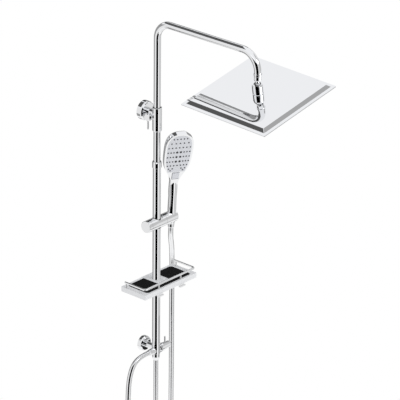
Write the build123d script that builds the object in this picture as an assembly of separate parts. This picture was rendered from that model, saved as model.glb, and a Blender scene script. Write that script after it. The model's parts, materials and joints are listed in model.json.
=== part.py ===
from build123d import *
import math
import os

# Rainfall shower column. Millimetres, +X right, +Y into the wall, +Z up.
# The origin is the middle of the upper wall plate's back face, on the wall plane.
os.makedirs("parts", exist_ok=True)

# ---- driving dimensions -------------------------------------------------------------
COL_Y = -53.0                 # column axis in front of the wall
RISER_R, RISER_WALL = 10.0, 1.0
LOWER_R, LOWER_BORE = 11.5, 10.7
ARM_Z, REACH = 276.0, 369.0   # arm centreline height and its reach from the column
BEND_BACK, BEND_FRONT = 48.0, 55.0
RISER_LOW = -330.0            # lower end of the riser, inside the lower tube
SLEEVE_LOW, SLEEVE_TOP, SLEEVE_R = -51.0, 21.0, 13.6
COLLAR_LOW, COLLAR_TOP, COLLAR_R = -162.0, -143.0, 13.6
KNOB_Y, KNOB_Z = -35.0, -9.0
SLIDER_Z, SLIDER_R = -333.0, 17.5
SHELF_TOP, SHELF_T = -509.0, 14.5
SHELF_X0, SHELF_X1 = -108.0, 110.0
SHELF_Y0, SHELF_Y1 = COL_Y - 57.0, COL_Y + 37.5
DIV_Z = -736.0
BODY_TOP, BODY_LOW, BODY_R = -713.0, -747.0, 12.4
NUT_LOW, NUT_R = -768.0, 10.9
HEAD, RIM, BEVEL, RISE = 300.0, 10.0, 8.5, 8.0
TILT_SIDE, TILT_FRONT = 11.6, 2.0
BALL_Z, BALL_R = 182.0, 11.0
HOSE_A_R, HOSE_B_R = 7.5, 7.0
HAND_X, HAND_Y = 60.0, COL_Y - 2.5
HAND_TILT, FACE_TILT, HAND_TURN = 3.0, 14.5, 30.0
ROSETTE_R, ROSETTE_T = 28.0, 19.0
LOW_ROSETTE_R, LOW_ROSETTE_T = 22.5, 15.0
LOW_STEM_Z = DIV_Z + 6.0
INLET_DY = -25.0               # the supply hose's lower end, out from the column axis
RUN, GRIP = 0.05, 0.12        # radial clearance of a running fit, and of a nut round its hose

made = {}


def put(name, shape):
    made[name] = shape


def cz(r, z0, z1, x=0.0, y=COL_Y):
    return Pos(x, y, (z0 + z1) / 2) * Cylinder(r, abs(z1 - z0))


def cy(r, y0, y1, x=0.0, z=0.0):
    return Pos(x, (y0 + y1) / 2, z) * Rot(90, 0, 0) * Cylinder(r, abs(y1 - y0))


def cx(r, x0, x1, y=COL_Y, z=0.0):
    return Pos((x0 + x1) / 2, y, z) * Rot(0, 90, 0) * Cylinder(r, abs(x1 - x0))


def block(x0, x1, y0, y1, z0, z1):
    return Pos((x0 + x1) / 2, (y0 + y1) / 2, (z0 + z1) / 2) * Box(x1 - x0, y1 - y0, z1 - z0)


def turned(points):
    """A solid of revolution about Z from (radius, height) points."""
    face = Plane.XZ * make_face(Polyline(*points, close=True))
    return revolve(face, Axis.Z)


def along_y(shape, x=0.0, z=0.0):
    """Stands a turned shape on the wall: its +Z becomes -Y."""
    return Pos(x, 0, z) * Rot(90, 0, 0) * shape


def at_column(shape, z=0.0):
    return Pos(0, COL_Y, z) * shape


# ---- wall plates, rosettes and stems -------------------------------------------------
def wall_plate(r, z, spread):
    plate = cy(r, -4, 0, z=z) + cy(7.0, -14, -4, z=z)
    for x in (-spread, spread):
        plate -= cy(2.6, -5, 1, x=x, z=z)
    return plate - cy(2.6, -15, -6, z=z)


def rosette(r, depth, stem_r, z):
    outer = turned([(0, 0), (r, 0), (r, depth - 6), (r - 1.2, depth - 2.5),
                    (r - 4.0, depth), (0, depth)])
    inner = turned([(0, -1), (r - 2.5, -1), (r - 2.5, depth - 6), (r - 5.5, depth - 2.5), (0, depth - 2.5)])
    return along_y(outer - inner, z=z) - cy(stem_r, -depth - 1, -depth + 5, z=z)


put("upper_wall_plate", wall_plate(20.5, 0, 15.5))
put("upper_rosette", rosette(ROSETTE_R, ROSETTE_T, 11.2, 0))
put("lower_wall_plate", wall_plate(18.5, LOW_STEM_Z, 14.0))
put("lower_rosette", rosette(LOW_ROSETTE_R, LOW_ROSETTE_T, 9.2, LOW_STEM_Z))

# Upper bracket: a stem that socket-fits the plate's boss, a barrel for the lock knob and the column sleeve.
stem = cy(11.0, COL_Y + 6, -4.0)
sleeve = at_column(turned([(0, SLEEVE_LOW), (SLEEVE_R - 2, SLEEVE_LOW), (SLEEVE_R, SLEEVE_LOW + 3),
                           (SLEEVE_R, SLEEVE_TOP - 0.8), (SLEEVE_R - 0.8, SLEEVE_TOP), (0, SLEEVE_TOP)]))
barrel = cx(10.0, -12.0, 6.0, y=KNOB_Y, z=KNOB_Z)
bracket = stem + sleeve + barrel - cz(12.3, SLEEVE_LOW - 1, SLEEVE_TOP + 1)
bracket -= cy(7.0, -14.0, -3.0) + cx(3.0, -13, 4.0, y=KNOB_Y, z=KNOB_Z)
bracket -= cz(2.0, -12, -6.5, y=-9.0)
put("upper_bracket", bracket)
put("bracket_bush", cz(12.3, SLEEVE_LOW + 2, SLEEVE_TOP - 0.6) - cz(RISER_R + RUN, SLEEVE_LOW, SLEEVE_TOP))

# Lock knob with its pin lever, turning about X on a clamp screw.
knob = cx(11.0, -22.5, -12.4, y=KNOB_Y, z=KNOB_Z)
knob = chamfer(knob.edges().filter_by(GeomType.CIRCLE), 1.2)
knob -= cx(3.0, -20.0, -12.0, y=KNOB_Y, z=KNOB_Z)
knob -= cz(2.5, KNOB_Z - 12, KNOB_Z - 6, x=-17.6, y=KNOB_Y)
put("bracket_knob", knob)
put("bracket_clamp_screw", cx(3.0 - RUN, -12.4, 3.6, y=KNOB_Y, z=KNOB_Z) + cx(3.0, -20.0, -12.4, y=KNOB_Y, z=KNOB_Z))
pin = cz(2.5, KNOB_Z - 37, KNOB_Z - 6, x=-17.6, y=KNOB_Y)
put("bracket_lever_pin", fillet(pin.edges().sort_by(Axis.Z)[0], 1.5))

# ---- lower tube, collar and seals ------------------------------------------------------
TUBE_LOW = BODY_TOP - 14.0
put("lower_tube", cz(LOWER_R, TUBE_LOW, COLLAR_LOW + 9) - cz(LOWER_BORE, TUBE_LOW - 1, COLLAR_LOW + 10))
collar = at_column(turned([(LOWER_R, COLLAR_LOW), (COLLAR_R - 0.8, COLLAR_LOW), (COLLAR_R, COLLAR_LOW + 0.8),
                           (COLLAR_R, COLLAR_TOP - 3), (COLLAR_R - 1.5, COLLAR_TOP), (RISER_R + 0.35, COLLAR_TOP),
                           (RISER_R + 0.35, COLLAR_TOP - 3), (12.2, COLLAR_TOP - 3), (12.2, COLLAR_LOW + 9),
                           (LOWER_R, COLLAR_LOW + 9)]))
put("collar_nut", collar)
put("collar_seal", cz(12.2, COLLAR_LOW + 9, COLLAR_TOP - 3) - cz(RISER_R + RUN, COLLAR_LOW, COLLAR_TOP))

# ---- diverter ----------------------------------------------------------------------------
body = at_column(turned([(0, BODY_LOW), (BODY_R - 1, BODY_LOW), (BODY_R, BODY_LOW + 1), (BODY_R, BODY_TOP - 2),
                         (BODY_R - 0.6, BODY_TOP), (0, BODY_TOP)]))
body += cx(10.8, 0, 12.5, z=DIV_Z) + cx(13.0, 11.6, 14.5, z=DIV_Z) + cx(9.5, -16.0, 0, z=DIV_Z)
body += cy(9.0, COL_Y, -4.0, z=LOW_STEM_Z)
body -= cz(LOWER_R, TUBE_LOW, BODY_TOP + 1)
body -= cz(7.0, BODY_LOW - 1, TUBE_LOW)
body -= cx(8.5, 6.0, 15.0, z=DIV_Z) + cx(4.0, -8.0, 7.0, z=DIV_Z) + cx(6.0, -17.0, -7.0, z=DIV_Z)
body -= cy(7.0, -14.0, -3.0, z=LOW_STEM_Z)
body -= cz(2.0, LOW_STEM_Z - 10, LOW_STEM_Z - 6.5, y=-9.0)
put("diverter_body", body)
put("stem_grub_screws", Compound([cz(2.0, -12.0, -7.0, y=-9.0),
                                  cz(2.0, LOW_STEM_Z - 10, LOW_STEM_Z - 7.0, y=-9.0)]))
cartridge = cx(8.5, 6.0, 14.6, z=DIV_Z) + cx(12.0, 14.5, 16.0, z=DIV_Z)
put("diverter_cartridge", cartridge - cx(3.0, 7.0, 17.0, z=DIV_Z))
put("inlet_nipple", cz(7.0, NUT_LOW + 6, BODY_LOW + 2) - cz(5.2, NUT_LOW, BODY_LOW + 3))
put("check_valve", cz(5.2, BODY_LOW - 8, BODY_LOW + 1) - cz(3.0, BODY_LOW - 9, BODY_LOW + 2))
put("outlet_nipple", cx(6.0, -27.0, -9.0, z=DIV_Z) - cx(4.2, -28.0, -8.0, z=DIV_Z))

# Diverter handle: a slightly tapered knob with a pin lever, turning about X.
HANDLE0, HANDLE1 = 16.4, 56.0
taper = Pos(0, COL_Y, DIV_Z) * Rot(0, 90, 0) * turned(
    [(0, HANDLE0), (12.6, HANDLE0), (12.2, HANDLE0 + 8), (9.6, HANDLE1 - 1.2), (8.4, HANDLE1), (0, HANDLE1)])
taper -= cx(3.0, HANDLE0 - 1, 34.0, z=DIV_Z)
taper -= cz(2.3, DIV_Z + 5.0, DIV_Z + 14.0, x=38.0)
taper -= cz(1.5, DIV_Z - 15.0, DIV_Z - 2.6, x=24.0)
put("diverter_handle", taper)
put("diverter_spindle", cx(3.0 - RUN, 7.4, HANDLE0, z=DIV_Z) + cx(3.0, HANDLE0, 34.0, z=DIV_Z))
lever = cz(2.3, DIV_Z + 5.0, DIV_Z + 30.0, x=38.0)
put("diverter_lever_pin", fillet(lever.edges().sort_by(Axis.Z)[-1], 1.5))
put("handle_grub_screw", cz(1.5, DIV_Z - 11.0, DIV_Z - 3.0, x=24.0))

# Bottom nut of the column and outlet nut of the hand hose.
put("inlet_nut", at_column(turned([(7.0, BODY_LOW), (NUT_R, BODY_LOW), (NUT_R, BODY_LOW - 10), (NUT_R - 0.9, BODY_LOW - 15),
                                   (NUT_R - 3.0, NUT_LOW + 1), (HOSE_B_R + GRIP, NUT_LOW), (HOSE_B_R + GRIP, NUT_LOW + 6),
                                   (7.0, NUT_LOW + 6)])))
outlet_nut = Pos(0, COL_Y, DIV_Z) * Rot(0, -90, 0) * turned(
    [(6.0, 16.0), (9.0, 16.0), (9.6, 17.0), (9.6, 22.0), (8.6, 30.0), (HOSE_A_R + GRIP, 32.0), (HOSE_A_R + GRIP, 27.0), (6.0, 27.0)])
put("hand_hose_nut_low", outlet_nut)

# ---- riser and arm -----------------------------------------------------------------------
arm_y = COL_Y - REACH
with BuildLine() as arm_path:
    FilletPolyline((0, COL_Y, RISER_LOW), (0, COL_Y, ARM_Z), (0, arm_y, ARM_Z), (0, arm_y, BALL_Z + 24.0),
                   radius=[BEND_BACK, BEND_FRONT])


def pipe(line, r):
    start = line @ 0
    return sweep(Plane(origin=start, z_dir=line % 0) * Circle(r), path=line)


arm = pipe(arm_path.line, RISER_R) - pipe(arm_path.line, RISER_R - RISER_WALL)
put("riser_arm", arm)
guide = cz(LOWER_BORE - RUN, RISER_LOW - 8, RISER_LOW + 14) - cz(RISER_R + RUN, RISER_LOW - 0.3, RISER_LOW + 15)
guide -= cz(7.5, RISER_LOW - 9, RISER_LOW + 1)
for dz in (4.0, 9.0):
    guide -= cz(11, RISER_LOW - dz + 0.8, RISER_LOW - dz + 2.8) - cz(9.2, RISER_LOW - dz, RISER_LOW - dz + 4)
put("riser_guide_bush", guide)
o_rings = [cz(LOWER_BORE - RUN, RISER_LOW - dz + 0.8, RISER_LOW - dz + 2.8)
           - cz(9.2, RISER_LOW - dz, RISER_LOW - dz + 4) for dz in (4.0,)]
put("riser_o_ring", o_rings[0])


def at_ball(shape, tilted=False):
    turn = Rot(TILT_FRONT, 0, 0) * Rot(0, -TILT_SIDE, 0) if tilted else Rot(0, 0, 0)
    return Pos(0, arm_y, BALL_Z) * turn * shape


put("arm_end_collar", at_ball(turned([(RISER_R, 36), (11.3, 36), (11.3, 30.5), (10.4, 29.5), (10.4, 19), (9.4, 16.5), (5.0, 16.5),
                                      (5.0, 24.0), (RISER_R, 24.0)])))
ball = Sphere(BALL_R) + cz(5.0, 6, 24, y=0) - cz(3.4, -12, 25, y=0)
put("arm_ball", at_ball(ball))


def seat(r_in, r_out, top, tilted):
    shell = Sphere(r_out) - Sphere(r_in)
    shell -= cz(20, top, 20, y=0) + cz(6.5, -20, 0, y=0)
    return at_ball(shell, tilted)


put("ball_seat_inner", seat(BALL_R + RUN, BALL_R + 1.0, 7.0, False))
put("ball_seat_outer", seat(BALL_R + 1.0 + RUN, BALL_R + 2.0, 7.5, True))

# ---- head ------------------------------------------------------------------------------------
TOP = -20.0
RIM_TOP = TOP - RISE
nut = turned([(0, TOP), (14.2, TOP), (15.6, TOP + 1.4), (15.6, 3.5), (14.2, 8.0), (0, 8.0)])
nut -= Sphere(BALL_R + 2.0 + RUN) + cz(11, TOP - 1, -8, y=0)
put("ball_nut", at_ball(nut, True))


def square(size, z, r=1.0):
    return Pos(0, 0, z) * RectangleRounded(size, size, r)


inner = HEAD - 2 * RIM
plateau = inner - 2 * BEVEL
skin = extrude(square(HEAD, RIM_TOP - 1.2, 1.5), 1.2)
skin += loft([square(inner, RIM_TOP - 0.01).faces()[0], square(plateau, TOP).faces()[0]])
hollow = loft([square(inner - 3.0, RIM_TOP - 1.3).faces()[0], square(plateau - 3.0, TOP - 1.4).faces()[0]])
skin -= hollow
skin -= cz(11, TOP - 2, TOP + 1, y=0)
put("head_top_shell", at_ball(skin, True))
put("head_socket", at_ball(cz(11, TOP - 4.4, -13.2, y=0) + cz(17, TOP - 4.4, TOP - 1.4, y=0) - cz(6.5, TOP - 5, -8, y=0), True))
pitch, rows = 23.0, 12
grid = GridLocations(pitch, pitch, rows, rows)
holes = Sketch() + [loc * Circle(2.2) for loc in grid.locations]
plate = extrude(Pos(0, 0, RIM_TOP - 3.0) * (RectangleRounded(HEAD - 0.6, HEAD - 0.6, 1.5) - holes), 1.8)
put("head_spray_plate", at_ball(plate, True))
dots = Sketch() + [loc * Circle(2.1) for loc in grid.locations]
mat = extrude(Pos(0, 0, RIM_TOP - 1.2) * RectangleRounded(inner - 8, inner - 8, 1.0), 1.0)
mat += extrude(Pos(0, 0, RIM_TOP - 4.4) * dots, 3.3)
put("head_nozzle_mat", at_ball(mat, True))

# ---- slider, holder and their knob --------------------------------------------------------------
slider = cx(SLIDER_R, -32.6, 27.0, z=SLIDER_Z)
slider -= cz(13.4, SLIDER_Z - 20, SLIDER_Z + 20)
slider -= cx(4.0, 15.0, 28.0, z=SLIDER_Z) + cx(3.0, -33.0, -12.0, z=SLIDER_Z)
slider -= cz(SLIDER_R - 5.5, SLIDER_Z + 9.5, SLIDER_Z + 20, y=COL_Y, x=11.0) & block(11, 30, -90, 0, -400, 0)
put("slider_body", slider)
s_bush = (cz(13.4, SLIDER_Z - 14.0, SLIDER_Z + 13.0) - cz(LOWER_R + RUN, SLIDER_Z - 20, SLIDER_Z + 20))
s_bush -= cx(3.0, -14.0, -10.0, z=SLIDER_Z)
put("slider_bush", s_bush)
s_knob = cx(SLIDER_R, -45.5, -33.0, z=SLIDER_Z)
s_knob = fillet(s_knob.edges().filter_by(GeomType.CIRCLE).sort_by(Axis.X)[0], 1.2) - cx(3.0, -41.0, -30.0, z=SLIDER_Z)
put("slider_knob", s_knob)
put("slider_clamp_screw", cx(3.0, -41.0, -33.0, z=SLIDER_Z) + cx(3.0 - RUN, -33.0, -11.8, z=SLIDER_Z))
put("holder_pin", cx(4.0, 15.0, 27.3, z=SLIDER_Z) + cx(4.0 - RUN, 27.3, 40.0, z=SLIDER_Z))

hand = Pos(HAND_X, HAND_Y, SLIDER_Z) * Rot(HAND_TILT, 0, 0) * Rot(0, 0, -HAND_TURN)


def grip_radius(z):
    """The handset's tapered end and the holder's seat share this cone."""
    return 11.3 + 0.045 * z


holder = cx(SLIDER_R, 27.4, 74.5, z=SLIDER_Z)
holder = fillet(holder.edges().filter_by(GeomType.CIRCLE).sort_by(Axis.X)[-1], 1.2)
holder -= cx(4.0, 27.0, 40.5, z=SLIDER_Z)
holder -= hand * turned([(0, -30), (grip_radius(-30) + RUN, -30), (grip_radius(30) + RUN, 30), (0, 30)])
holder -= block(HAND_X, HAND_X + 20, HAND_Y - 8.2, HAND_Y + 8.2, SLIDER_Z - 20, SLIDER_Z + 20)
put("handset_holder", holder)


# ---- handset -----------------------------------------------------------------------------------------
def half_outline(inset):
    """Half of the head's outline in its own plane, moved inwards by inset."""
    pts = [(9.5, -14), (11.5, -2), (16.5, 13), (25.5, 29), (34, 46), (39, 66), (41, 90), (41.5, 114),
           (40, 136), (33.5, 153), (19.5, 165), (0, 168.5)]
    out = []
    for i, (x, z) in enumerate(pts):
        a, b = pts[max(i - 1, 0)], pts[min(i + 1, len(pts) - 1)]
        dx, dz = b[0] - a[0], b[1] - a[1]
        if i == len(pts) - 1:
            dx, dz = -1.0, 0.0
        step = (min(inset, 0.45 * x) if x else inset) / math.hypot(dx, dz)
        out.append((max(x - step * dz, 0.0), z + step * dx))
    return out


def head_face(inset, low=None):
    pts = half_outline(inset)
    if low is not None:
        pts = [p for p in pts if p[1] > low + 1]
        pts = [(pts[0][0] - 4.0, low)] + pts
    right = Spline(*pts, tangents=[(0.25, 1), (-1, 0)])
    left = Spline(*[(-x, z) for x, z in reversed(pts)], tangents=[(-1, 0), (0.25, -1)])
    base = Line((-pts[0][0], pts[0][1]), (pts[0][0], pts[0][1]))
    return Plane.XZ * make_face(Wire([right, left, base]))


NECK = 122.0
face_at = hand * Pos(0, 0, NECK) * Rot(FACE_TILT, 0, 0)
FRONT, BACK = -12.5, 10.5
SHOULDER = 2.0
FACE_LOW = 33.0
slab = loft([(Pos(0, y, 0) * head_face(inset)).faces()[0] for y, inset in
             ((FRONT, 0.0), (SHOULDER, 0.0), (6.5, 2.4), (9.0, 5.0), (BACK, 8.0))], ruled=True)
cavity = Pos(0, FRONT + 9.0, 0) * extrude(head_face(5.5, FACE_LOW), 12.0)
GRIP_LOW, GRIP_TOP = -16.0, 26.0
grip = turned([(0, GRIP_LOW), (grip_radius(GRIP_LOW), GRIP_LOW), (grip_radius(GRIP_TOP), GRIP_TOP),
               (11.9, 68), (0, 68)])
grip += loft([Pos(0, 0, 64) * Circle(11.6), Pos(0, 0, NECK - 16) * Ellipse(12.4, 11.2),
              Pos(0, 0, NECK - 2) * Ellipse(11.2, 9.2)])
bore = hand * cz(6.5, GRIP_LOW - 1, NECK - 6, y=0)
slot = block(-11.0, 11.0, FRONT - 1, FRONT + 6.0, 6.5, 30.5)
shell = (hand * grip - bore) + face_at * (slab - cavity - slot)
put("handset_shell", shell)

face = Pos(0, FRONT + 3.0, 0) * extrude(head_face(5.5, FACE_LOW), 3.4)
ROWS = [(152, (0, 10, 19.5)), (137, (0, 12, 25)), (121, (0, 10.5, 21, 31.5)), (104.5, (15, 23.5, 32)),
        (88, (15, 23.5, 32)), (71.5, (15, 23.5, 31.5)), (57, (0, 10, 19.5, 28.5)), (46, (13, 24)), (39.5, (18.5,))]
spots = [(side * x, z) for z, xs in ROWS for x in xs for side in ((1, -1) if x else (1,))]
jets = [(x, z) for x in (-5.5, 5.5) for z in (71.5, 88.0, 104.5)]


def pegs(points, r, y0, y1):
    sketch = Sketch() + [Pos(x, z) * Circle(r) for x, z in points]
    return Pos(0, y1, 0) * extrude(Plane.XZ * sketch, y1 - y0)


face -= pegs(spots, 2.2, FRONT - 2, FRONT + 5) + pegs(jets, 3.3, FRONT - 2, FRONT + 5)
put("handset_face", face_at * face)
backing = Pos(0, FRONT + 5.0, 0) * extrude(head_face(7.0, FACE_LOW + 2), 2.0)
put("handset_nozzles", face_at * (backing + pegs(spots, 2.1, FRONT - 1.1, FRONT + 4.2)
                                  - pegs(jets, 3.3, FRONT - 2, FRONT + 6)))
jet_plate = Pos(0, FRONT + 7.0, 0) * extrude(Plane.XZ * (Pos(0, 88) * RectangleRounded(22, 44, 4)), 2.0)
put("handset_jets", face_at * (jet_plate + pegs(jets, 3.2, FRONT - 1.2, FRONT + 6)))
press = block(-10.0, 10.0, FRONT - 2.2, FRONT + 2.5, 7.5, 29.5)
press = chamfer(press.edges().filter_by(Axis.X).group_by(Axis.Y)[0].sort_by(Axis.Z)[0], 2.0)
put("handset_button", face_at * press)
put("hand_hose_nut_top", hand * turned([(6.5, -10), (6.5, -16), (10.2, -16), (9.4, -20), (8.9, -30), (HOSE_A_R + GRIP, -33),
                                        (HOSE_A_R + GRIP, -27), (4.5, -27), (4.5, -10)]))

# ---- shelf -------------------------------------------------------------------------------------------------
low = SHELF_TOP - SHELF_T
tray = block(SHELF_X0, SHELF_X1, SHELF_Y0, SHELF_Y1, low, SHELF_TOP)
tray = chamfer(tray.edges().filter_by(Axis.Z), 1.2)
tray -= block(SHELF_X0 + 2, SHELF_X1 - 2, SHELF_Y0 + 2, SHELF_Y1 - 2, low - 1, SHELF_TOP - 4.5)
tray += block(-23, 23, COL_Y - 25, COL_Y + 25, low, SHELF_TOP - 4.4)
MAT_X0, MAT_X1, MAT_Y0, MAT_Y1 = SHELF_X0 + 17, SHELF_X1 - 17, SHELF_Y0 + 6.8, SHELF_Y1 - 9
mx, my = (MAT_X0 + MAT_X1) / 2, (MAT_Y0 + MAT_Y1) / 2


def mat_area(gap, r):
    return Pos(mx, my) * RectangleRounded(MAT_X1 - MAT_X0 - 2 * gap, MAT_Y1 - MAT_Y0 - 2 * gap, r)


PLATE_Y0 = SHELF_Y0 + 22.0
tray -= extrude(Pos(0, 0, SHELF_TOP - 2.0) * mat_area(0, 9), 3.0)
tray -= block(-23, 23, MAT_Y1 - 1, SHELF_Y1 + 1, SHELF_TOP - 2.0, SHELF_TOP + 1)
tray -= cz(13.4, low - 1, SHELF_TOP + 1)
tray = tray - cx(3.1, 10, 24, z=SHELF_TOP - 9.0)
mat_part = extrude(Pos(0, 0, SHELF_TOP - 2.0) * mat_area(0.3, 8.7), 2.6)
mat_part -= block(-23.3, 23.3, PLATE_Y0 - 0.3, 0, SHELF_TOP - 5, SHELF_TOP + 5)
for k in range(17):
    for side in (-1, 1):
        x = side * (29.0 + 3.4 * k)
        if MAT_X0 + 4 < x < MAT_X1 - 4:
            mat_part -= block(x - 0.6, x + 0.6, MAT_Y0 + 8, MAT_Y1 - 5, SHELF_TOP + 0.2, SHELF_TOP + 1)
put("shelf_mat", mat_part)
centre = block(-23, 23, PLATE_Y0, SHELF_Y1, SHELF_TOP - 2.0, SHELF_TOP + 0.8)
centre -= cz(LOWER_R + 0.35, SHELF_TOP - 3, SHELF_TOP + 2)
put("shelf_centre_plate", centre)
clamp = cz(13.4, low - 12.0, SHELF_TOP - 2.2) - cz(LOWER_R + RUN, low - 20, SHELF_TOP)
clamp -= cx(3.0, 10.0, 14.0, z=SHELF_TOP - 9.0)
put("shelf_clamp_sleeve", clamp)
put("shelf_clamp_screw", cx(3.0, 11.8, 22.6, z=SHELF_TOP - 9.0))

RAIL_R, RAIL_Z, RAIL_IN = 3.0, SHELF_TOP + 15.0, 4.2
rx0, rx1, ry0, ry1 = SHELF_X0 + RAIL_IN, SHELF_X1 - RAIL_IN, SHELF_Y0 + RAIL_IN, SHELF_Y1 - 12.0
with BuildLine() as rail_path:
    FilletPolyline((rx0, ry1, RAIL_Z), (rx0, ry0, RAIL_Z), (rx1, ry0, RAIL_Z), (rx1, ry1, RAIL_Z), radius=9.0)
rail = pipe(rail_path.line, RAIL_R)
POSTS = [(-46.0, ry0), (46.0, ry0), (rx0, ry1 - 6.0), (rx1, ry1 - 6.0)]
for x, y in POSTS:
    rail += cz(2.2, SHELF_TOP, RAIL_Z, x=x, y=y)
rail_screws = []
for x, y in POSTS:
    rail_screws += [cz(1.9, SHELF_TOP - 7.0, SHELF_TOP - 4.5, x=x, y=y) + cz(1.2, SHELF_TOP - 5, SHELF_TOP + 6, x=x, y=y)]
    tray -= cz(1.2, low, SHELF_TOP + 1, x=x, y=y)
    rail -= cz(1.2, SHELF_TOP - 1, SHELF_TOP + 6, x=x, y=y)
put("shelf_rail", rail)
put("rail_screws", Compound(rail_screws))
put("shelf_tray", tray)
hooks = []
for x in (-46.0, 46.0):
    hook = block(x - 11, x + 11, SHELF_Y0, SHELF_Y0 + 2.0, low - 5.0, low)
    hook += block(x - 11, x + 11, SHELF_Y0 - 5.0, SHELF_Y0 + 2.0, low - 6.5, low - 5.0)
    hook += block(x - 11, x + 11, SHELF_Y0 - 5.0, SHELF_Y0 - 3.5, low - 6.5, low - 2.0)
    hooks.append(hook)
put("shelf_hooks", Compound(hooks))


# ---- hoses -------------------------------------------------------------------------------------------------
def hose(name, points, r, bore):
    """A free hose: straight runs joined by tangent arcs. Prints its radii and length."""
    vec = [Vector(*p) for p in points]
    radii = []
    for a, b, c in zip(vec, vec[1:], vec[2:]):
        run = min((b - a).length, (c - b).length)
        turn = math.radians((b - a).get_angle(c - b))
        radii.append(0.45 * run / math.tan(turn / 2))
    with BuildLine() as line:
        FilletPolyline(*points, radius=radii)
    print(name, "radii", [round(v, 1) for v in radii], "length", round(sum(e.length for e in line.line.edges()), 1))
    put(name, pipe(line.line, r) - pipe(line.line, bore))


def hand_hose_points():
    """Handset, past the shelf's back corner, round the hanging loop and up to the outlet."""
    top = (hand * Pos(0, 0, -27.5)).position
    knee = (hand * Pos(0, 0, -62.0)).position
    drop_x, drop_y = 116.0, COL_Y + 44.8
    left_x, left_y = -118.8, COL_Y
    pts = [tuple(top), tuple(knee), (88.0, COL_Y + 22.0, -435.0), (drop_x - 1.2, drop_y - 0.6, -478.0)]
    for dx, z in ((0.6, -546.0), (-0.5, -672.0), (0.6, -827.0), (-0.4, -982.0)):
        pts.append((drop_x + dx, drop_y, z))
    half = math.hypot(drop_x - left_x, drop_y - left_y) / 2
    mid_x, mid_y, mid_z = (drop_x + left_x) / 2, (drop_y + left_y) / 2, -1082.0
    for deg in (22.5, 67.5, 112.5, 157.5):
        reach = half / math.cos(math.radians(22.5)) * math.cos(math.radians(deg))
        drop = half / math.cos(math.radians(22.5)) * math.sin(math.radians(deg))
        pts.append((mid_x + (drop_x - mid_x) * reach / half, mid_y + (drop_y - mid_y) * reach / half, mid_z - drop))
    for x, z in ((-119.6, -1030.0), (-118.9, -917.0), (-118.2, -837.0), (-113.0, -786.0),
                 (-96.0, -749.0), (-64.0, DIV_Z + 0.6), (-29.0, DIV_Z)):
        pts.append((x, COL_Y, z))
    return pts


def supply_hose_points():
    ends = [(0.0, 0.0, 5.0), (0.0, 0.0, -60.0), (0.8, 0.6, -180.0), (-0.5, -3.0, -290.0),
            (0.3, INLET_DY + 3.0, -390.0), (0.0, INLET_DY, -445.0), (0.0, INLET_DY, -495.0)]
    return [(x, COL_Y + y, NUT_LOW + z) for x, y, z in ends]


hose("hand_hose", hand_hose_points(), HOSE_A_R, 4.5)
hose("supply_hose", supply_hose_points(), HOSE_B_R, 4.0)
END = NUT_LOW - 495.0


def at_inlet(shape):
    return Pos(0, COL_Y + INLET_DY, 0) * shape


THREAD_R, WASHER_R = 9.3, 10.1
put("supply_nut", at_inlet(turned(
    [(HOSE_B_R + GRIP, END + 8), (HOSE_B_R + 1.4, END + 8), (HOSE_B_R + 1.4, END), (13.6, END - 2),
     (13.6, END - 15), (13.0, END - 16), (THREAD_R, END - 16), (THREAD_R, END - 6.5),
     (WASHER_R + 0.1, END - 6.5), (WASHER_R + 0.1, END - 4), (4.0, END - 4), (4.0, END),
     (HOSE_B_R + GRIP, END)])))
put("supply_washer", at_inlet(cz(WASHER_R, END - 6.4, END - 4, y=0) - cz(4.5, END - 7, END - 3, y=0)))

for name, shape in made.items():
    shape.label = name
    export_step(shape, "parts/" + name + ".step")
    print(name, round(shape.volume))
print(len(made), "nodes")
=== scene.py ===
import json
import math

import bpy
import numpy as np
from mathutils import Matrix, Vector


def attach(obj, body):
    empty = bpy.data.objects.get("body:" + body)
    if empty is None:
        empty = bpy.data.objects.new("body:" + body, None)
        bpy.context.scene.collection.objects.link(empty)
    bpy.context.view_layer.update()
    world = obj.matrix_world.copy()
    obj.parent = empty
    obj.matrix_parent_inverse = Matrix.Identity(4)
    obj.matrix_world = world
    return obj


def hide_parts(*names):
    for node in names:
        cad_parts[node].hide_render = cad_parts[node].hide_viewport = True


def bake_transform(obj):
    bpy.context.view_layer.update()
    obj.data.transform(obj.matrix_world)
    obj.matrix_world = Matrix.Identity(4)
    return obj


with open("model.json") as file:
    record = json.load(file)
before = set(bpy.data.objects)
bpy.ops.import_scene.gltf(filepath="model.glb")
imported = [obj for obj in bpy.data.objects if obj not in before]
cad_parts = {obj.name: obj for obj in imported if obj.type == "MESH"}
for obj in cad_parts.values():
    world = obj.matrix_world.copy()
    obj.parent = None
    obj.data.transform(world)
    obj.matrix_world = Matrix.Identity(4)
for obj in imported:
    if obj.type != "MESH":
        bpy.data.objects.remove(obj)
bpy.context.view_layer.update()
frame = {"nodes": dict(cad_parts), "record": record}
nodes = frame["nodes"]
scene = bpy.context.scene

# ---- camera ---------------------------------------------------------------------------
AZIMUTH, ELEVATION, ROLL = -48.37, 23.35, 0.62
DISTANCE, LENS = 8.6648, 274.35
TARGET = Vector((0.0818, -0.1450, -0.2614))


def make_camera():
    a, e, r = (math.radians(v) for v in (AZIMUTH, ELEVATION, ROLL))
    back = Vector((math.sin(a) * math.cos(e), -math.cos(a) * math.cos(e), math.sin(e)))
    right = Vector((math.cos(a), math.sin(a), 0.0))
    up = back.cross(right)
    right, up = math.cos(r) * right + math.sin(r) * up, -math.sin(r) * right + math.cos(r) * up
    data = bpy.data.cameras.new("Camera")
    data.lens, data.sensor_width, data.clip_end = LENS, 36.0, 60.0
    cam = bpy.data.objects.new("Camera", data)
    scene.collection.objects.link(cam)
    turn = Matrix((right, up, back)).transposed()
    cam.matrix_world = Matrix.Translation(TARGET + DISTANCE * back) @ turn.to_4x4()
    scene.camera = cam


make_camera()


# ---- hoses ----------------------------------------------------------------------------
COL_Y = -0.053
HAND_TILT = math.radians(3.0)


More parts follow.
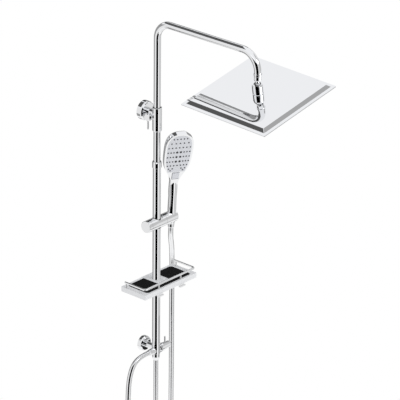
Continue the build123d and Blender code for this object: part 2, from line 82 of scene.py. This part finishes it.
def on_hand_axis(z):
    """A point on the hand shower's axis, z metres above the slider's axis."""
    return (0.060, COL_Y - 0.0025 - z * math.sin(HAND_TILT), -0.333 + z * math.cos(HAND_TILT))


def hand_hose_points():
    drop_x, drop_y, left_x, left_y = 0.116, COL_Y + 0.0448, -0.1188, COL_Y
    pts = [on_hand_axis(-0.0275), on_hand_axis(-0.062), (0.088, COL_Y + 0.022, -0.435),
           (drop_x - 0.0012, drop_y - 0.0006, -0.478)]
    for dx, z in ((0.0006, -0.546), (-0.0005, -0.672), (0.0006, -0.827), (-0.0004, -0.982)):
        pts.append((drop_x + dx, drop_y, z))
    half = math.hypot(drop_x - left_x, drop_y - left_y) / 2
    mid_x, mid_y, mid_z = (drop_x + left_x) / 2, (drop_y + left_y) / 2, -1.082
    for deg in (22.5, 67.5, 112.5, 157.5):
        reach = math.cos(math.radians(deg)) / math.cos(math.radians(22.5))
        drop = half * math.sin(math.radians(deg)) / math.cos(math.radians(22.5))
        pts.append((mid_x + (drop_x - mid_x) * reach, mid_y + (drop_y - mid_y) * reach, mid_z - drop))
    for x, z in ((-0.1196, -1.030), (-0.1189, -0.917), (-0.1182, -0.837), (-0.113, -0.786),
                 (-0.096, -0.749), (-0.064, -0.7354), (-0.029, -0.736)):
        pts.append((x, COL_Y, z))
    return pts


def supply_hose_points():
    ends = [(0.0, 0.0, 0.005), (0.0, 0.0, -0.060), (0.0008, 0.0006, -0.180), (-0.0005, -0.003, -0.290),
            (0.0003, -0.022, -0.390), (0.0, -0.025, -0.445), (0.0, -0.025, -0.495)]
    return [(x, COL_Y + y, -0.768 + z) for x, y, z in ends]


def spline_points(points):
    """The line that a quadratic spline draws through these control points."""
    data = bpy.data.curves.new("path", "CURVE")
    data.dimensions, data.resolution_u = "3D", 24
    line = data.splines.new("NURBS")
    line.points.add(len(points) - 1)
    for p, co in zip(line.points, points):
        p.co = (*co, 1.0)
    line.order_u = 3
    line.use_endpoint_u = True
    obj = bpy.data.objects.new("path", data)
    scene.collection.objects.link(obj)
    mesh = bpy.data.meshes.new_from_object(obj)
    out = np.array([v.co for v in mesh.vertices], float)
    bpy.data.objects.remove(obj)
    bpy.data.meshes.remove(mesh)
    return out


def corrugated(name, points, radius, pitch=0.0032, depth=0.00014, around=28):
    """A metal-wound hose: rings of rounded ridges along the line."""
    line = spline_points(points)
    seg = np.linalg.norm(np.diff(line, axis=0), axis=1)
    s = np.r_[0.0, np.cumsum(seg)]
    per = 6
    count = int(round(s[-1] / pitch)) * per
    at = np.linspace(0, s[-1], count + 1)
    centre = np.stack([np.interp(at, s, line[:, k]) for k in range(3)], 1)
    smooth = centre.copy()
    for _ in range(4):
        smooth[1:-1] = (smooth[:-2] + 2 * smooth[1:-1] + smooth[2:]) / 4
    tangent = np.gradient(smooth, axis=0)
    tangent /= np.linalg.norm(tangent, axis=1)[:, None]
    side = np.zeros_like(tangent)
    ref = np.cross(tangent[0], (0.3, 1.0, 0.1))
    for i, t in enumerate(tangent):
        ref = ref - t * (ref @ t)
        ref = ref / np.linalg.norm(ref)
        side[i] = ref
    other = np.cross(tangent, side)
    wave = np.abs(np.sin(np.pi * at / pitch)) ** 0.8
    r = radius - depth + depth * wave
    ang = np.linspace(0, 2 * math.pi, around, endpoint=False)
    ring = np.cos(ang)[None, :, None] * side[:, None] + np.sin(ang)[None, :, None] * other[:, None]
    co = (smooth[:, None] + r[:, None, None] * ring).reshape(-1, 3)
    i = np.arange(count)[:, None] * around
    j = np.arange(around)[None, :]
    k = (np.arange(around)[None, :] + 1) % around
    faces = np.stack([i + j, i + k, i + around + k, i + around + j], -1).reshape(-1, 4).tolist()
    mesh = bpy.data.meshes.new(name)
    mesh.from_pydata(co.tolist(), [], faces)
    mesh.polygons.foreach_set("use_smooth", [True] * len(mesh.polygons))
    obj = bpy.data.objects.new(name, mesh)
    scene.collection.objects.link(obj)
    return obj, line


hand_hose, hand_line = corrugated("hand_hose_wound", hand_hose_points(), 0.0075)
supply_hose, supply_line = corrugated("supply_hose_wound", supply_hose_points(), 0.0070)
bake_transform(hand_hose)
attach(supply_hose, "column")
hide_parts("hand_hose")
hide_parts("supply_hose")


# ---- materials --------------------------------------------------------------------------
def material(name, base, rough, metal=0.0, coat=0.0, bump=0.0, bump_scale=60.0, spec=0.5):
    mat = bpy.data.materials.new(name)
    mat.use_nodes = True
    bsdf = mat.node_tree.nodes["Principled BSDF"]
    bsdf.inputs["Base Color"].default_value = (*base, 1.0)
    bsdf.inputs["Roughness"].default_value = rough
    bsdf.inputs["Metallic"].default_value = metal
    bsdf.inputs["Coat Weight"].default_value = coat
    bsdf.inputs["Specular IOR Level"].default_value = spec
    if bump:
        tree = mat.node_tree
        coord = tree.nodes.new("ShaderNodeTexCoord")
        noise = tree.nodes.new("ShaderNodeTexNoise")
        noise.inputs["Scale"].default_value = bump_scale
        noise.inputs["Detail"].default_value = 3.0
        bumped = tree.nodes.new("ShaderNodeBump")
        bumped.inputs["Strength"].default_value = bump
        bumped.inputs["Distance"].default_value = 0.0005
        tree.links.new(coord.outputs["Object"], noise.inputs["Vector"])
        tree.links.new(noise.outputs["Fac"], bumped.inputs["Height"])
        tree.links.new(bumped.outputs["Normal"], bsdf.inputs["Normal"])
    return mat


CHROME = material("chrome", (0.87, 0.875, 0.885), 0.02, metal=1.0)
LOOKS = {
    "chrome": CHROME,
    "tray_silver": material("tray_silver", (0.69, 0.695, 0.705), 0.35),
    "brass": material("brass", (0.72, 0.55, 0.28), 0.28, metal=1.0),
    "steel": material("steel", (0.62, 0.63, 0.65), 0.26, metal=1.0),
    "black_plastic": material("black_plastic", (0.02, 0.02, 0.022), 0.42),
    "rubber_seal": material("rubber_seal", (0.025, 0.025, 0.025), 0.7),
    "grey_silicone": material("grey_silicone", (0.055, 0.058, 0.065), 0.55),
    "grey_plastic": material("grey_plastic", (0.60, 0.61, 0.64), 0.32, coat=0.25),
    "mat_black": material("mat_black", (0.004, 0.004, 0.0045), 0.75, bump=0.4, bump_scale=900.0,
                          spec=0.15),
}
for sub in frame["record"]["subparts"]:
    obj = nodes[sub["node"]]
    obj.data.materials.clear()
    obj.data.materials.append(LOOKS[sub["material_slot"]])
for hose in (hand_hose, supply_hose):
    hose.data.materials.append(CHROME)


def smooth_by_angle(obj, degrees=32.0):
    """Smooth shading that keeps creases sharper than this angle."""
    obj.data.shade_smooth()
    obj.data.set_sharp_from_angle(angle=math.radians(degrees))


for obj in nodes.values():
    smooth_by_angle(obj)
# Kept out of reflections, so the shelf doesn't break up the column's stripes.
for name in ("shelf_tray", "shelf_mat", "shelf_centre_plate", "shelf_rail", "shelf_hooks"):
    nodes[name].visible_glossy = False


# ---- studio -------------------------------------------------------------------------------
def stage_plane(name, corners, mat):
    mesh = bpy.data.meshes.new(name)
    mesh.from_pydata(corners, [], [list(range(len(corners)))])
    obj = bpy.data.objects.new(name, mesh)
    scene.collection.objects.link(obj)
    obj.data.materials.append(mat)


def emission(name, strength):
    mat = bpy.data.materials.new(name)
    mat.use_nodes = True
    tree = mat.node_tree
    tree.nodes.clear()
    out = tree.nodes.new("ShaderNodeOutputMaterial")
    emit = tree.nodes.new("ShaderNodeEmission")
    emit.inputs["Color"].default_value = (1.0, 1.0, 1.0, 1.0)
    emit.inputs["Strength"].default_value = strength
    tree.links.new(emit.outputs["Emission"], out.inputs["Surface"])
    return mat


FLOOR_Z, FLOOR_HALF = -1.9, 30
floor_corners = [(x * FLOOR_HALF, y * FLOOR_HALF, FLOOR_Z) for x, y in ((-1, -1), (1, -1), (1, 1), (-1, 1))]
stage_plane("floor", floor_corners, emission("floor", 1.0))


def studio_card(name, verts, faces, level):
    """A card of the studio round the object, seen only in its polished metal."""
    mesh = bpy.data.meshes.new(name)
    mesh.from_pydata(verts, [], faces)
    obj = bpy.data.objects.new(name, mesh)
    scene.collection.objects.link(obj)
    obj.data.materials.append(emission(name, level))
    obj.visible_camera = False
    obj.visible_diffuse = False
    obj.visible_shadow = False


def wall_card(name, from_az, to_az, level, low, high, radius=1.7):
    """An upright curved card; azimuths in degrees round from the camera's own."""
    verts, faces = [], []
    steps = max(2, int(abs(to_az - from_az) / 5))
    for i in range(steps + 1):
        a = math.radians(AZIMUTH + from_az + (to_az - from_az) * i / steps)
        x, y = radius * math.sin(a), COL_Y - radius * math.cos(a)
        verts += [(x, y, low), (x, y, high)]
    for i in range(steps):
        faces.append([2 * i, 2 * i + 2, 2 * i + 3, 2 * i + 1])
    studio_card(name, verts, faces, level)


def high_card(name, direction, width, height, level, distance=3.0, centre=(0.0, -0.4, 0.2)):
    """A flat card high up, square on to the head."""
    d = Vector(direction).normalized()
    side = d.cross(Vector((0, 0, 1))).normalized()
    up = side.cross(d)
    mid = Vector(centre) + distance * d
    corners = ((-1, -1), (1, -1), (1, 1), (-1, 1))
    verts = [mid + sx * side * width / 2 + sz * up * height / 2 for sx, sz in corners]
    studio_card(name, verts, [[0, 1, 2, 3]], level)


# Card heights: bottom, the step in tone, and top. Levels are brightness, with 0 black.
LOW, MID, TOP = -2.8, -0.38, 0.75
for part, low, high, beside in (("low", LOW, MID, 1.15), ("high", MID, TOP, 0.80)):
    wall_card("flag_" + part, -34, 30, 0.0, low, high, 1.6)
    wall_card("near_right_" + part, 30, 54, beside, low, high)
    wall_card("right_" + part, 54, 150, 0.60, low, high)
    wall_card("left_" + part, -89, -34, 0.88, low, high)
    wall_card("back_" + part, 150, 271, 0.34, low, high)
wall_card("light_patch", 90, 106, 0.84, -1.30, -0.30, 1.55)
wall_card("dark_patch_lower", 90, 104, 0.02, -1.60, -1.36, 1.55)
wall_card("dark_back_right", 155, 205, 0.03, 0.40, 1.25, 1.65)
high_card("grey_front", (0.50, -0.49, 0.70), 1.6, 1.2, 0.43)
high_card("dark_back", (-0.195, 0.68, 0.707), 3.6, 1.85, 0.10)

world = bpy.data.worlds.new("World")
scene.world = world
world.use_nodes = True
world.node_tree.nodes["Background"].inputs["Color"].default_value = (0.965, 0.97, 0.985, 1.0)
world.node_tree.nodes["Background"].inputs["Strength"].default_value = 1.0


def area(name, location, target, size, power):
    data = bpy.data.lights.new(name, "AREA")
    data.shape, data.size, data.energy = "SQUARE", size, power
    obj = bpy.data.objects.new(name, data)
    scene.collection.objects.link(obj)
    obj.location = location
    obj.rotation_euler = (Vector(target) - Vector(location)).to_track_quat("-Z", "Y").to_euler()


area("key", (0.9, -3.2, 1.6), (0, -0.1, -0.3), 1.6, 30.0)
area("fill", (-2.9, -1.2, 1.2), (0, -0.1, -0.3), 1.6, 3.0)

scene.view_settings.view_transform = "Standard"
